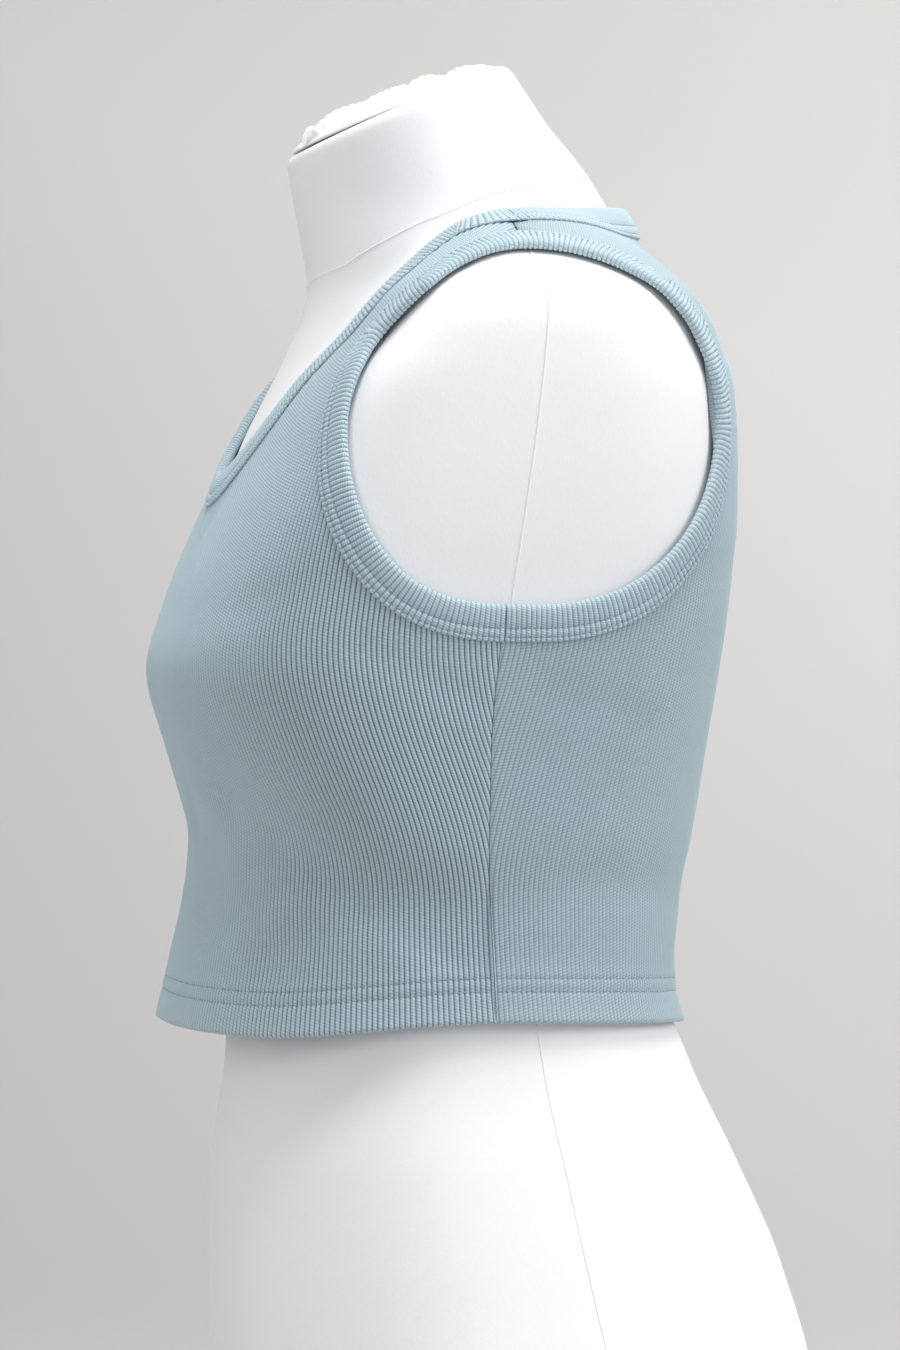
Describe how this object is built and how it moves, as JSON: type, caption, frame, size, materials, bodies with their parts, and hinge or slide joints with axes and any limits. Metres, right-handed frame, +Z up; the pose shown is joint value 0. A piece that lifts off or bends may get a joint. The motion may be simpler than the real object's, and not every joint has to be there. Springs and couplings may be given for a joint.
{
  "type": "crop top on dress form",
  "caption": "Sleeveless rib-knit crop top with bound neck and armholes, worn on a limbless jersey-covered dress form.",
  "frame": {"origin": "on the flat underside of the dress form, where it stands, under the middle of the waist", "axes": "+Z up, -Y to the front of the garment, +X to the wearer's left"},
  "size_m": [0.348, 0.2753, 0.6665],
  "materials": {
    "rib_knit": "matte fine rib knit in dusty blue-green",
    "rib_binding": "matte rib knit cut across, twin-needle coverstitched",
    "form_jersey": "matte white stretch jersey"
  },
  "bodies": {
    "root": {"front_panel": "rib_knit", "back_panel": "rib_knit", "neck_binding": "rib_binding", "armhole_binding_left": "rib_binding", "armhole_binding_right": "rib_binding", "dress_form": "form_jersey", "form_neck_gather": "form_jersey"}
  },
  "joints": []
}
